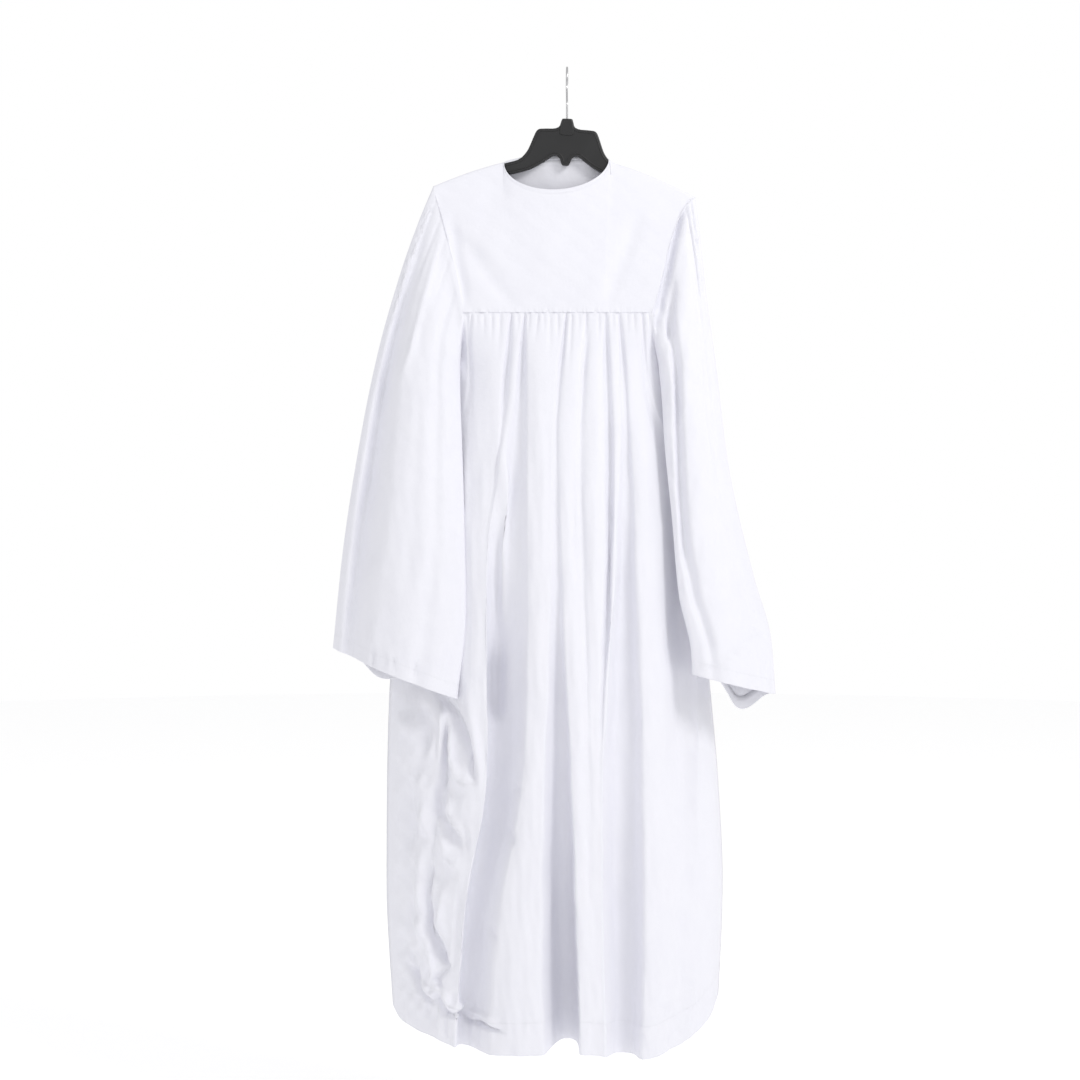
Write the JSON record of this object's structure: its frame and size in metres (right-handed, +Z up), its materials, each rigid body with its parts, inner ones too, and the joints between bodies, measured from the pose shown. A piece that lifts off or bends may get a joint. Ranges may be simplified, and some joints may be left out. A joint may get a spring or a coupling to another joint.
{
  "type": "baptismal robe on a hanger",
  "caption": "Long white robe with a plain round neck, flat yoke, gathered skirt and open bell sleeves, hung on a dark moulded hanger with a wire hook.",
  "frame": {"origin": "inside the top of the hanger's hook, where it rests on its rod", "axes": "+Z up, +X to the right as seen from the front, front of the robe facing -Y"},
  "size_m": [0.7124, 0.1706, 1.5601],
  "materials": {
    "white_cloth": "plain woven, matt with a faint sheen",
    "hanger_plastic": "moulded, satin",
    "hook_steel": "bright plated wire"
  },
  "bodies": {
    "root": {"front_yoke": "white_cloth", "back_yoke": "white_cloth", "front_skirt": "white_cloth", "back_skirt": "white_cloth", "left_sleeve_front": "white_cloth", "left_sleeve_back": "white_cloth", "right_sleeve_front": "white_cloth", "right_sleeve_back": "white_cloth", "hanger_body": "hanger_plastic", "hanger_hook": "hook_steel"}
  },
  "joints": []
}
